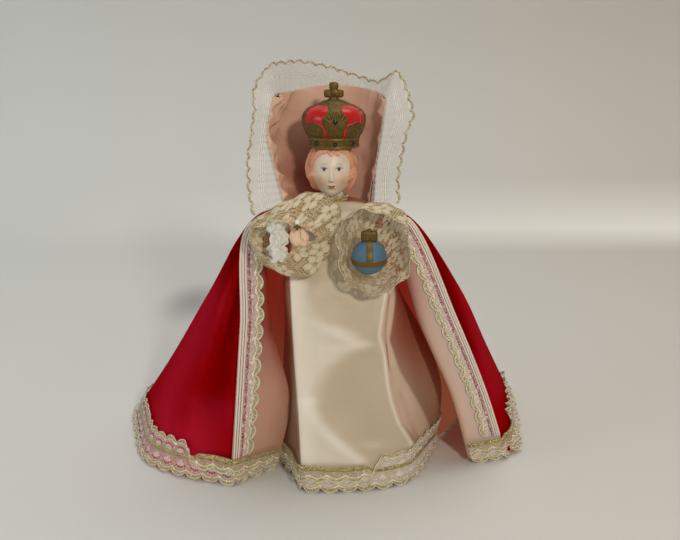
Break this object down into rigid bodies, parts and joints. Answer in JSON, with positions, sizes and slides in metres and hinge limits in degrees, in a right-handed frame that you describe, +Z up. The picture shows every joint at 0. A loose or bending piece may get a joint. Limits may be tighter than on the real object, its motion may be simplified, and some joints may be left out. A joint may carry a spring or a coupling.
{
  "type": "infant of prague statue",
  "caption": "Dressed devotional figurine of a crowned child with a raised hand and an orb, in satin gown, lace sleeves, lined cape and tall stand-up collar.",
  "frame": {"origin": "centre of the underside of the figurine's base", "axes": "+Z up, -Y the way the figure faces, +X to the side of the hand with the orb"},
  "size_m": [0.3438, 0.2189, 0.3139],
  "materials": {
    "bisque": "matte painted bisque",
    "ivory_satin": "satin",
    "red_satin": "satin",
    "peach_satin": "satin",
    "white_lace": "lace",
    "gold_lace": "metallic lace"
  },
  "bodies": {
    "root": {"figure": "bisque", "gown": "ivory_satin", "gown_hem_lace": "gold_lace", "sleeve_raised_hand": "gold_lace", "sleeve_orb_hand": "gold_lace", "undersleeve": "ivory_satin", "neck_lace": "gold_lace", "cape": "red_satin", "cape_lining": "peach_satin", "cape_hem_lace": "gold_lace", "lapel_lace_left": "white_lace", "lapel_lace_right": "white_lace", "collar": "red_satin", "collar_lining": "peach_satin", "collar_lace": "white_lace"}
  },
  "joints": []
}
